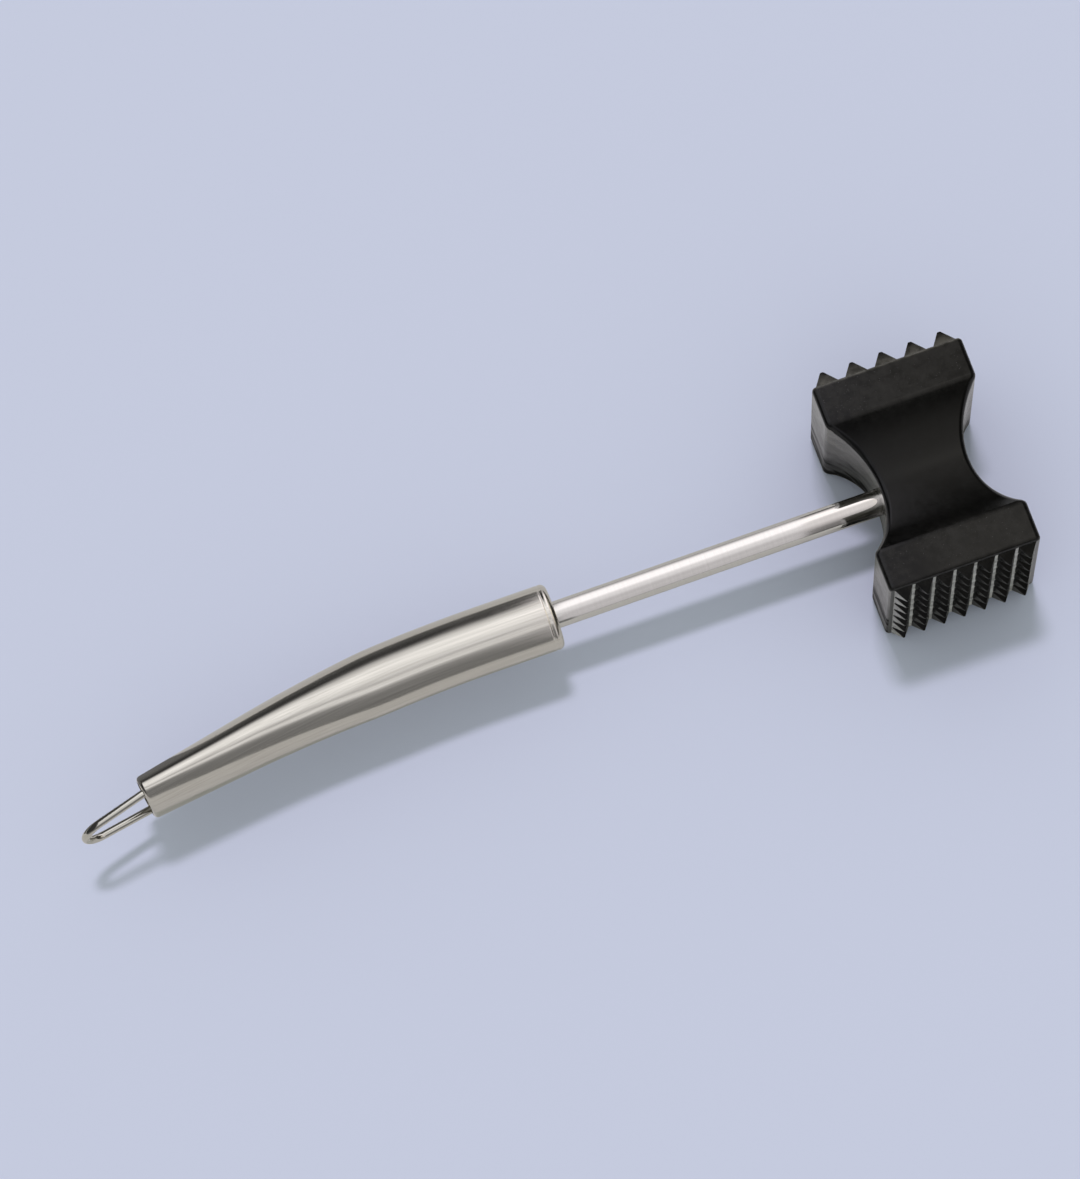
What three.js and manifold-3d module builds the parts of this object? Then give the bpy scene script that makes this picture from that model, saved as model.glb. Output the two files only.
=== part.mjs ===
// Meat mallet: a black coated hourglass head with a coarse and a fine toothed face, on a
// steel rod that runs into a hollow handle, bent and pressed flat towards its tail, which
// carries a wire loop.
// Millimetres. X runs along the rod from the handle to the head, Y from the fine teeth to
// the coarse teeth, and Z up from the side of the head that the mallet lies on.
import * as THREE from "three";
import { mergeVertices } from "three/addons/utils/BufferGeometryUtils.js";
import Module from "manifold-3d";

const wasm = await Module();
wasm.setup();

// Sizes shared by more than one piece
const clearance = 0.3; // between two pieces that touch on a round surface
const overrun = 2; // how far a cutting tool starts outside the piece
const sink = 0.5; // how far a tooth starts inside the head before the two are joined
const weldDistance = 1e-4; // points closer than this are one point

const head = {
  width: 46, // across the square section, the same in X and in Z
  length: 65, // from the floor of the fine teeth to the floor of the coarse teeth
  waistWidth: 27.2,
  waistRadius: 26,
  waistBlend: 2.5, // radius where the waist meets the flat bands at both ends
  cornerRadius: 1.7, // round of the four long edges
  endRadius: 1.2, // round of the edges of both striking faces
};

const coarseTeeth = {
  count: 5, // teeth along each side of the face
  margin: 1.5, // from the side of the head to the outer teeth
  valley: 2, // floor between two teeth
  tip: 0.95, // width of the flat tip
  height: 4.7,
};

const fineTeeth = {
  count: 7,
  margin: 1.5,
  valley: 0.85,
  tip: 0.45,
  height: 3.4,
};

const rod = {
  diameter: 8,
  exposed: 99.9, // between the waist of the head and the front rim of the handle
  headDepth: 21, // length inside the head
  tangLength: 30, // length inside the handle
  chamfer: 0.8,
};

const drillPointAngle = 118; // degrees, at the bottom of the hole in the head

const handle = {
  length: 129.4, // along the centreline
  diameter: 19.7, // of the round front
  tailThickness: 11.4, // of the oval tail, in Y
  tailWidth: 26.4, // of the oval tail, in Z
  ovalLength: 72.8, // measured from the tail
  ovalBlend: 8, // length over which the round tube starts to turn oval
  wall: 1,
  frontRim: 1.7, // radius of the rolled front rim
  tailRim: 1.3,
  bendStart: 21.5, // from the front rim to where the tube starts to bend
  bendRadius: 464,
  bendAngle: 9.4, // degrees, towards the fine teeth
};

const frontCap = {
  wall: 1.2,
  skirt: 7, // length along the tube
  collar: 6, // length of the drawn collar round the rod
  corner: 1, // round between its face and its skirt
};

const tangBush = {
  length: 8,
  backset: 1.2, // from its rear face to the end of the rod
  chamfer: 0.6,
};

const tailCap = {
  thickness: 2.2,
  corner: 0.9,
};

const loop = {
  wire: 2.4,
  spacing: 18.6, // between the two legs, centre to centre, where they leave the handle
  tipRadius: 6.7, // of the wire's centreline round the tip
  reach: 21.6, // from the rim of the tail to the outside of the tip
  insert: 9, // length of each leg inside the handle
  offset: 1, // from the middle of the tail, towards the fine teeth
  lean: 3.4, // degrees, towards the fine teeth
};

// Number of steps on round surfaces
const steps = {
  headCorner: 4,
  headEnd: 4,
  headBlend: 4,
  headWaist: 9,
  aroundHandle: 40,
  handleOuter: 26,
  handleInner: 13,
  rim: 5,
  aroundRod: 32,
  wireHalf: 7, // on half of the round of the wire
  aroundDrill: 14,
  alongLoop: 92,
  loopTip: 7,
  loopLeg: 3,
  cornerRound: 3,
};

const { degToRad } = THREE.MathUtils;
const halfTurn = Math.PI;
const quarterTurn = halfTurn / 2;
const fullTurn = halfTurn * 2;
const squareSides = 4;

// Materials
function finish(color, roughness, metalness) {
  return new THREE.MeshStandardMaterial({ color, roughness, metalness });
}

const materials = {
  blackCoat: finish("#232323", 0.42, 0.15),
  polishedSteel: finish("#dcdcda", 0.12, 1),
  brushedSteel: finish("#bab7b1", 0.34, 1),
  plainSteel: finish("#a3a19c", 0.45, 1),
  polishedWire: finish("#cfd0cc", 0.15, 1),
};

// Solids
function toSolid(geometry) {
  const bare = geometry.clone();
  bare.deleteAttribute("normal");
  bare.deleteAttribute("uv");
  const welded = mergeVertices(bare, weldDistance);
  return new wasm.Manifold(
    new wasm.Mesh({
      numProp: 3,
      vertProperties: new Float32Array(welded.attributes.position.array),
      triVerts: new Uint32Array(welded.index.array),
    }),
  );
}

function toGeometry(solid) {
  const mesh = solid.getMesh();
  const geometry = new THREE.BufferGeometry();
  geometry.setAttribute("position", new THREE.BufferAttribute(mesh.vertProperties, mesh.numProp));
  geometry.setIndex(new THREE.BufferAttribute(mesh.triVerts, 1));
  const flat = geometry.toNonIndexed();
  flat.computeVertexNormals();
  return flat;
}

function namedMesh(name, geometry, material) {
  const mesh = new THREE.Mesh(geometry, material);
  mesh.name = name;
  return mesh;
}

// A number from 0 to 1 for each of count + 1 evenly spaced places
function evenly(count) {
  return Array.from({ length: count + 1 }, (_, index) => index / count);
}

// Points of an arc in a plane, as pairs, from one angle to another
function arc(centreA, centreB, radius, from, to, count) {
  return evenly(count).map((share) => {
    const angle = from + (to - from) * share;
    return [centreA + radius * Math.cos(angle), centreB + radius * Math.sin(angle)];
  });
}

// Skin over a row of rings with the same number of points. An open row gets a flat cap at
// each end, and a closed row runs from its last ring back to its first.
function skinRings(rings, closed) {
  const around = rings[0].length;
  const positions = rings.flat().flatMap((point) => point.toArray());
  const triangles = [];
  const spans = closed ? rings.length : rings.length - 1;
  for (let row = 0; row < spans; row += 1) {
    const near = row * around;
    const far = ((row + 1) % rings.length) * around;
    for (let column = 0; column < around; column += 1) {
      const next = (column + 1) % around;
      triangles.push(near + column, far + next, near + next);
      triangles.push(near + column, far + column, far + next);
    }
  }
  if (!closed) {
    const last = (rings.length - 1) * around;
    for (let column = 1; column < around - 1; column += 1) {
      triangles.push(0, column, column + 1);
      triangles.push(last, last + column + 1, last + column);
    }
  }
  const geometry = new THREE.BufferGeometry();
  geometry.setAttribute("position", new THREE.Float32BufferAttribute(positions, 3));
  geometry.setIndex(triangles);
  return geometry;
}

// Head
// Half widths of the head along Y, from the middle of the waist to one striking face
function headHalfProfile() {
  const half = head.width / 2;
  const waistCentre = head.waistWidth / 2 + head.waistRadius;
  const blendCentre = half - head.waistBlend;
  const reach = head.waistRadius + head.waistBlend;
  const drop = waistCentre - blendCentre;
  const blendY = Math.sqrt(reach * reach - drop * drop);
  const meeting = Math.atan2(blendY, drop);
  const endY = head.length / 2 - head.endRadius;
  const waist = evenly(steps.headWaist).map((share) => ({
    y: head.waistRadius * Math.sin(meeting * share),
    half: waistCentre - head.waistRadius * Math.cos(meeting * share),
  }));
  const blend = arc(blendY, blendCentre, head.waistBlend, quarterTurn + meeting, quarterTurn, steps.headBlend);
  const end = arc(endY, half - head.endRadius, head.endRadius, quarterTurn, 0, steps.headEnd);
  const straight = [...blend.slice(1), ...end].map(([y, halfWidth]) => ({ y, half: halfWidth }));
  return [...waist, ...straight];
}

// One section of the head: a square with round corners, in the plane at y
function headSection({ y, half }) {
  const inset = Math.abs(y) > head.length / 2 - head.endRadius ? head.width / 2 - half : 0;
  const corner = head.cornerRadius - inset;
  const centre = half - corner;
  const corners = [
    [centre, centre],
    [-centre, centre],
    [-centre, -centre],
    [centre, -centre],
  ];
  return corners.flatMap(([x, z], turn) => {
    const from = turn * quarterTurn;
    return arc(x, z, corner, from, from + quarterTurn, steps.headCorner).map(
      ([pointX, pointZ]) => new THREE.Vector3(pointX, y, pointZ),
    );
  });
}

// Square pyramids with flat tips, standing on the floor of one striking face
function toothGrid(teeth, side) {
  const pitch = (head.width - 2 * teeth.margin + teeth.valley) / teeth.count;
  const base = pitch - teeth.valley;
  const slope = (base - teeth.tip) / teeth.height;
  const sunkBase = base + slope * sink;
  const cornerReach = Math.SQRT1_2;
  const tooth = new THREE.CylinderGeometry(
    teeth.tip * cornerReach,
    sunkBase * cornerReach,
    teeth.height + sink,
    squareSides,
  );
  tooth.rotateY(quarterTurn / 2);
  tooth.translate(0, (teeth.height - sink) / 2 + head.length / 2, 0);
  if (side < 0) tooth.rotateX(halfTurn);
  const solid = toSolid(tooth);
  const offsets = Array.from({ length: teeth.count }, (_, index) => (index - (teeth.count - 1) / 2) * pitch);
  return offsets.flatMap((x) => offsets.map((z) => solid.translate([x, 0, z])));
}

// Blind drilled hole for the rod, from the waist on the side of the handle
function rodHole() {
  const radius = rod.diameter / 2 + clearance;
  const mouth = -head.waistWidth / 2 - overrun;
  const floor = -head.waistWidth / 2 + rod.headDepth + clearance;
  const point = floor + radius / Math.tan(degToRad(drillPointAngle / 2));
  const profile = [
    new THREE.Vector2(0, mouth),
    new THREE.Vector2(radius, mouth),
    new THREE.Vector2(radius, floor),
    new THREE.Vector2(0, point),
  ];
  return new THREE.LatheGeometry(profile, steps.aroundRod).rotateZ(-quarterTurn);
}

function makeHead() {
  const half = headHalfProfile();
  const mirrored = half.slice(1).map(({ y, half: width }) => ({ y: -y, half: width }));
  const rings = [...mirrored.reverse(), ...half].map(headSection);
  const body = toSolid(skinRings(rings, false));
  const teeth = [...toothGrid(coarseTeeth, 1), ...toothGrid(fineTeeth, -1)];
  const toothed = wasm.Manifold.union([body, ...teeth]);
  const bored = toothed.subtract(toSolid(rodHole()));
  return namedMesh("head", toGeometry(bored), materials.blackCoat);
}

// Rod
const rodStart = -head.waistWidth / 2 + rod.headDepth;
const handleFront = -head.waistWidth / 2 - rod.exposed;
const rodEnd = handleFront - rod.tangLength;

function makeRod() {
  const radius = rod.diameter / 2;
  const profile = [
    new THREE.Vector2(0, rodEnd),
    new THREE.Vector2(radius - rod.chamfer, rodEnd),
    new THREE.Vector2(radius, rodEnd + rod.chamfer),
    new THREE.Vector2(radius, rodStart - rod.chamfer),
    new THREE.Vector2(radius - rod.chamfer, rodStart),
    new THREE.Vector2(0, rodStart),
  ];
  const geometry = new THREE.LatheGeometry(profile, steps.aroundRod).rotateZ(-quarterTurn);
  return namedMesh("rod", geometry, materials.polishedSteel);
}

// Handle
// Place and heading of the handle's centreline, at a distance from its front rim
function alongHandle(distance) {
  const turn = degToRad(handle.bendAngle);
  const angle = THREE.MathUtils.clamp((distance - handle.bendStart) / handle.bendRadius, 0, turn);
  const bent = angle * handle.bendRadius;
  const before = Math.min(distance, handle.bendStart);
  const after = Math.max(distance - handle.bendStart - bent, 0);
  const x = before + handle.bendRadius * Math.sin(angle) + after * Math.cos(angle);
  const y = handle.bendRadius * (1 - Math.cos(angle)) + after * Math.sin(angle);
  return {
    place: new THREE.Vector3(handleFront - x, -y, 0),
    heading: new THREE.Vector3(-Math.cos(angle), -Math.sin(angle), 0),
    across: new THREE.Vector3(-Math.sin(angle), Math.cos(angle), 0),
  };
}

// Half thickness and half width of the handle at a distance from its front rim. The round
// tube turns oval along an even slope, which starts with a blend.
function handleSection(distance) {
  const radius = handle.diameter / 2;
  const past = distance - (handle.length - handle.ovalLength) + handle.ovalBlend / 2;
  const blended = THREE.MathUtils.clamp(past, 0, handle.ovalBlend);
  const rest = Math.max(past - handle.ovalBlend, 0);
  const share = ((blended * blended) / (2 * handle.ovalBlend) + rest) / handle.ovalLength;
  return {
    thick: radius + (handle.tailThickness / 2 - radius) * share,
    wide: radius + (handle.tailWidth / 2 - radius) * share,
  };
}

// Ring round the handle at a distance from its front rim and a depth under its outside
function handleRing([distance, depth]) {
  const { place, across } = alongHandle(distance);
  const { thick, wide } = handleSection(distance);
  return evenly(steps.aroundHandle)
    .slice(1)
    .map((share) =>
      new THREE.Vector3(0, 0, (wide - depth) * Math.sin(share * fullTurn))
        .addScaledVector(across, (thick - depth) * Math.cos(share * fullTurn))
        .add(place),
    );
}

function makeHandleTube() {
  const { length, wall, frontRim, tailRim } = handle;
  const tailCentre = length - tailRim;
  const between = (share) => frontRim + (tailCentre - frontRim) * share;
  const outer = evenly(steps.handleOuter).map((share) => [between(share), 0]);
  const inner = evenly(steps.handleInner).map((share) => [between(share), wall]);
  const profile = [
    ...arc(frontRim, frontRim, frontRim, -halfTurn, -quarterTurn, steps.rim).slice(0, -1),
    ...outer,
    ...arc(tailCentre, tailRim, tailRim, -quarterTurn, 0, steps.rim).slice(1),
    ...arc(tailCentre, tailRim, tailRim - wall, 0, -quarterTurn, steps.rim).slice(0, -1),
    ...inner.reverse(),
    ...arc(frontRim, frontRim, frontRim - wall, -quarterTurn, -halfTurn, steps.rim).slice(1),
  ];
  return namedMesh("handle_tube", skinRings(profile.map(handleRing), true), materials.brushedSteel);
}

// Pressed cup behind the front rim, with a collar drawn inwards round the rod
function makeFrontCap() {
  const { wall, skirt, collar, corner } = frontCap;
  const face = handle.wall + clearance;
  const outside = handle.wall + clearance;
  const hole = (handle.diameter - rod.diameter) / 2 - clearance;
  const profile = [
    [face, hole],
    ...arc(face + corner, outside + corner, corner, -halfTurn, -quarterTurn, steps.cornerRound),
    [face + skirt, outside],
    [face + skirt, outside + wall],
    [face + wall, outside + wall],
    [face + wall, hole - wall],
    [face + collar, hole - wall],
    [face + collar, hole],
  ];
  return namedMesh("front_cap", skinRings(profile.map(handleRing), true), materials.plainSteel);
}

// Bush that centres the end of the rod in the straight part of the handle
function makeTangBush() {
  const { length, backset, chamfer } = tangBush;
  const rear = rod.tangLength - backset;
  const front = rear - length;
  const outside = handle.wall + clearance;
  const hole = (handle.diameter - rod.diameter) / 2 - clearance;
  const profile = [
    [front, hole],
    [front, outside + chamfer],
    [front + chamfer, outside],
    [rear - chamfer, outside],
    [rear, outside + chamfer],
    [rear, hole],
  ];
  return namedMesh("tang_bush", skinRings(profile.map(handleRing), true), materials.plainSteel);
}

// Place of a point beside the tail: out along the tail's heading, across it and up
function beyondTail(out, across, up) {
  const tail = alongHandle(handle.length);
  return new THREE.Vector3(0, 0, up)
    .add(tail.place)
    .addScaledVector(tail.heading, out)
    .addScaledVector(tail.across, across);
}

// Plug behind the tail rim, with a hole for each leg of the loop
function makeTailCap() {
  const { thickness, corner } = tailCap;
  const rear = handle.length - handle.wall - clearance;
  const front = rear - thickness;
  const outside = handle.wall + clearance;
  const round = arc(rear - corner, outside + corner, corner, -quarterTurn, 0, steps.cornerRound);
  const blank = toSolid(skinRings([[front, outside], ...round].map(handleRing), false));
  const drill = new THREE.CylinderGeometry(
    loop.wire / 2 + clearance,
    loop.wire / 2 + clearance,
    thickness + 2 * overrun,
    steps.aroundDrill,
  );
  drill.rotateZ(quarterTurn + degToRad(handle.bendAngle));
  const middle = (rear + front) / 2 - handle.length;
  const holes = [1, -1].map((side) => {
    const centre = beyondTail(middle, -loop.offset, (side * loop.spacing) / 2);
    return toSolid(drill).translate(centre.toArray());
  });
  const drilled = blank.subtract(wasm.Manifold.union(holes));
  return namedMesh("tail_cap", toGeometry(drilled), materials.plainSteel);
}

// Hanging loop
// Centreline of one half of the loop, from the tip to the end of its leg, as pairs of the
// distance out from the tail rim and the height over the middle of the loop. The leg runs
// straight from the round of the tip to where it enters the handle.
function loopHalf() {
  const legHeight = loop.spacing / 2;
  const tipCentre = loop.reach - loop.wire / 2 - loop.tipRadius;
  const reach = Math.hypot(tipCentre, legHeight);
  const slope = Math.atan2(legHeight, tipCentre) - Math.asin(loop.tipRadius / reach);
  const tip = arc(tipCentre, 0, loop.tipRadius, 0, quarterTurn - slope, steps.loopTip);
  const [lastOut, lastHeight] = tip[tip.length - 1];
  const leg = evenly(steps.loopLeg)
    .slice(1)
    .map((share) => [lastOut * (1 - share), lastHeight + (legHeight - lastHeight) * share]);
  const inside = evenly(steps.loopLeg)
    .slice(1)
    .map((share) => [-loop.insert * share, legHeight]);
  return [...tip, ...leg, ...inside];
}

function makeLoop() {
  const half = loopHalf();
  const other = half.slice(1).map(([out, height]) => [out, -height]);
  const lean = Math.tan(degToRad(loop.lean));
  const points = [...other.reverse(), ...half].map(([out, height]) =>
    beyondTail(out, -loop.offset - lean * Math.max(out, 0), height),
  );
  const path = new THREE.CatmullRomCurve3(points, false, "centripetal");
  const section = new THREE.Shape();
  section.absarc(0, 0, loop.wire / 2, 0, fullTurn);
  const geometry = new THREE.ExtrudeGeometry(section, {
    extrudePath: path,
    steps: steps.alongLoop,
    curveSegments: steps.wireHalf,
  });
  return namedMesh("hanging_loop", geometry, materials.polishedWire);
}

// Assembly, moved so that the origin lies under the middle of the mallet
const assembly = new THREE.Group();
assembly.add(
  makeHead(),
  makeRod(),
  makeHandleTube(),
  makeFrontCap(),
  makeTangBush(),
  makeTailCap(),
  makeLoop(),
);
const box = new THREE.Box3().setFromObject(assembly, true);
const middle = box.getCenter(new THREE.Vector3());
assembly.position.set(-middle.x, -middle.y, -box.min.z);

const group = new THREE.Group();
group.add(assembly);

export default group;
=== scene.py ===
import math

import bmesh
import bpy
from mathutils import Matrix, Vector


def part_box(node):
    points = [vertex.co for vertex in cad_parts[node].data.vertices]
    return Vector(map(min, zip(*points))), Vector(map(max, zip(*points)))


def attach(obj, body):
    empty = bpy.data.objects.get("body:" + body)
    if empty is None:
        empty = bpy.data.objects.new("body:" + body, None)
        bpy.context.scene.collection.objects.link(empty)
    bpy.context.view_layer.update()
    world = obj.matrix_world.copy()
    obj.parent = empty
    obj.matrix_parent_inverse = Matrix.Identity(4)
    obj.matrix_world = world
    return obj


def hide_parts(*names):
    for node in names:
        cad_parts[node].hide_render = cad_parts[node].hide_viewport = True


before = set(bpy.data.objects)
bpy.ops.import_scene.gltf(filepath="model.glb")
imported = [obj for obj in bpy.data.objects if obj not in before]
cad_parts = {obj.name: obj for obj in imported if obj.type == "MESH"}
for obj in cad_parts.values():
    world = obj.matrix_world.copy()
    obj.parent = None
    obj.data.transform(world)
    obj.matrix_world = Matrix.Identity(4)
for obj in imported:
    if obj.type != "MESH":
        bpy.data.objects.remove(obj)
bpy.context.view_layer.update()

quarterTurn = math.pi / 2
halfTurn = math.pi
weldDistance = 1e-6  # points closer than this are one point
print("frame loaded, nodes:", ", ".join(sorted(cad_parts)))

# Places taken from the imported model: the middle of the head, the axis of the rod and the front
# of the handle
headLow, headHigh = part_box("head")
rodLow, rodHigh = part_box("rod")
_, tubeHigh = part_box("handle_tube")
capLow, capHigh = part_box("front_cap")
headX = (headLow.x + headHigh.x) / 2
axisY = (rodLow.y + rodHigh.y) / 2
axisZ = (rodLow.z + rodHigh.z) / 2
handleFront = tubeHigh.x


# Modelling helpers
def deselectAll():
    if bpy.context.object and bpy.context.object.mode != "OBJECT":
        bpy.ops.object.mode_set(mode="OBJECT")
    bpy.ops.object.select_all(action="DESELECT")


def takePrimitive(name):
    # The primitive that was just added, with its place moved into its mesh
    piece = bpy.context.object
    piece.name = name
    piece.data.name = name
    bpy.ops.object.transform_apply(location=True, rotation=True, scale=True)
    return piece


def selectOnly(kind, test):
    # Selects the faces, edges or vertices of the piece being edited that pass a test
    bpy.ops.mesh.select_mode(type=kind)
    bpy.ops.mesh.select_all(action="DESELECT")
    mesh = bmesh.from_edit_mesh(bpy.context.object.data)
    parts = {"VERT": mesh.verts, "EDGE": mesh.edges, "FACE": mesh.faces}[kind]
    count = 0
    for part in parts:
        if test(part):
            part.select_set(True)
            count += 1
    mesh.select_flush_mode()
    bmesh.update_edit_mesh(bpy.context.object.data)
    return count


def cleanUp():
    # Welds doubles and turns all faces outwards
    bpy.ops.mesh.select_mode(type="VERT")
    bpy.ops.mesh.select_all(action="SELECT")
    bpy.ops.mesh.remove_doubles(threshold=weldDistance)
    bpy.ops.mesh.normals_make_consistent(inside=False)


def applyModifier(piece, kind, settings):
    modifier = piece.modifiers.new(kind.title(), kind)
    for key, value in settings.items():
        setattr(modifier, key, value)
    bpy.context.view_layer.objects.active = piece
    bpy.ops.object.modifier_apply(modifier=modifier.name)


def smoothShading(piece, degrees):
    deselectAll()
    piece.select_set(True)
    bpy.context.view_layer.objects.active = piece
    bpy.ops.object.shade_smooth_by_angle(angle=math.radians(degrees))
    applyModifier(piece, "WEIGHTED_NORMAL", {"keep_sharp": True})


def cutAway(piece, cutters):
    # Takes the cutters out of a piece and deletes them
    for cutter in cutters:
        applyModifier(
            piece, "BOOLEAN", {"object": cutter, "operation": "DIFFERENCE", "solver": "EXACT"}
        )
        bpy.data.objects.remove(cutter)


def sweepRings(name, rings, sides, closed):
    # Extrudes a circle ring by ring. A ring is its place, its heading round Z, its half thickness
    # in plan and its half width in Z, and a heading of zero looks along -X. A closed row is joined
    # from its last ring to its first.
    deselectAll()
    place, heading, thick, wide = rings[0]
    bpy.ops.mesh.primitive_circle_add(
        vertices=sides, radius=thick, location=place, rotation=(0, -quarterTurn, heading)
    )
    piece = takePrimitive(name)
    bpy.ops.object.mode_set(mode="EDIT")
    bpy.ops.transform.resize(value=(1, 1, wide / thick), center_override=place)
    for before, after in zip(rings, rings[1:]):
        bpy.ops.mesh.extrude_region_move(TRANSFORM_OT_translate={"value": after[0] - before[0]})
        thicker = after[2] / before[2]
        bpy.ops.transform.resize(
            value=(thicker, thicker, after[3] / before[3]), center_override=after[0]
        )
        if after[1] != before[1]:
            # With no window the turn goes the other way
            bpy.ops.transform.rotate(
                value=before[1] - after[1], orient_axis="Z", center_override=after[0]
            )
    selectOnly("EDGE", lambda edge: edge.is_boundary)
    if closed:
        bpy.ops.mesh.bridge_edge_loops()
    else:
        bpy.ops.mesh.fill_holes(sides=0)
    cleanUp()
    bpy.ops.object.mode_set(mode="OBJECT")
    return piece


def evenly(count):
    return [index / count for index in range(count + 1)]


def arcPoints(centreA, centreB, radius, start, end, count):
    return [
        (
            centreA + radius * math.cos(start + (end - start) * share),
            centreB + radius * math.sin(start + (end - start) * share),
        )
        for share in evenly(count)
    ]


# Material helpers
def toLinear(hexColour):
    channels = [int(hexColour[start : start + 2], 16) / 255 for start in (1, 3, 5)]
    return [
        channel / 12.92 if channel <= 0.04045 else ((channel + 0.055) / 1.055) ** 2.4
        for channel in channels
    ] + [1]


def addNode(tree, kind, settings=None, links=None):
    # Settings are sockets or properties and their values, links are sockets and what feeds them
    node = tree.nodes.new(kind)
    for key, value in (settings or {}).items():
        if isinstance(key, int) or key in node.inputs:
            node.inputs[key].default_value = value
        else:
            setattr(node, key, value)
    for key, (source, output) in (links or {}).items():
        tree.links.new(source.outputs[output], node.inputs[key])
    return node


def newMaterial(name):
    material = bpy.data.materials.new(name)
    material.use_nodes = True
    material.node_tree.nodes.clear()
    return material, material.node_tree


def finishMaterial(tree, shader):
    addNode(tree, "ShaderNodeOutputMaterial", links={"Surface": (shader, "BSDF")})


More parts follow.
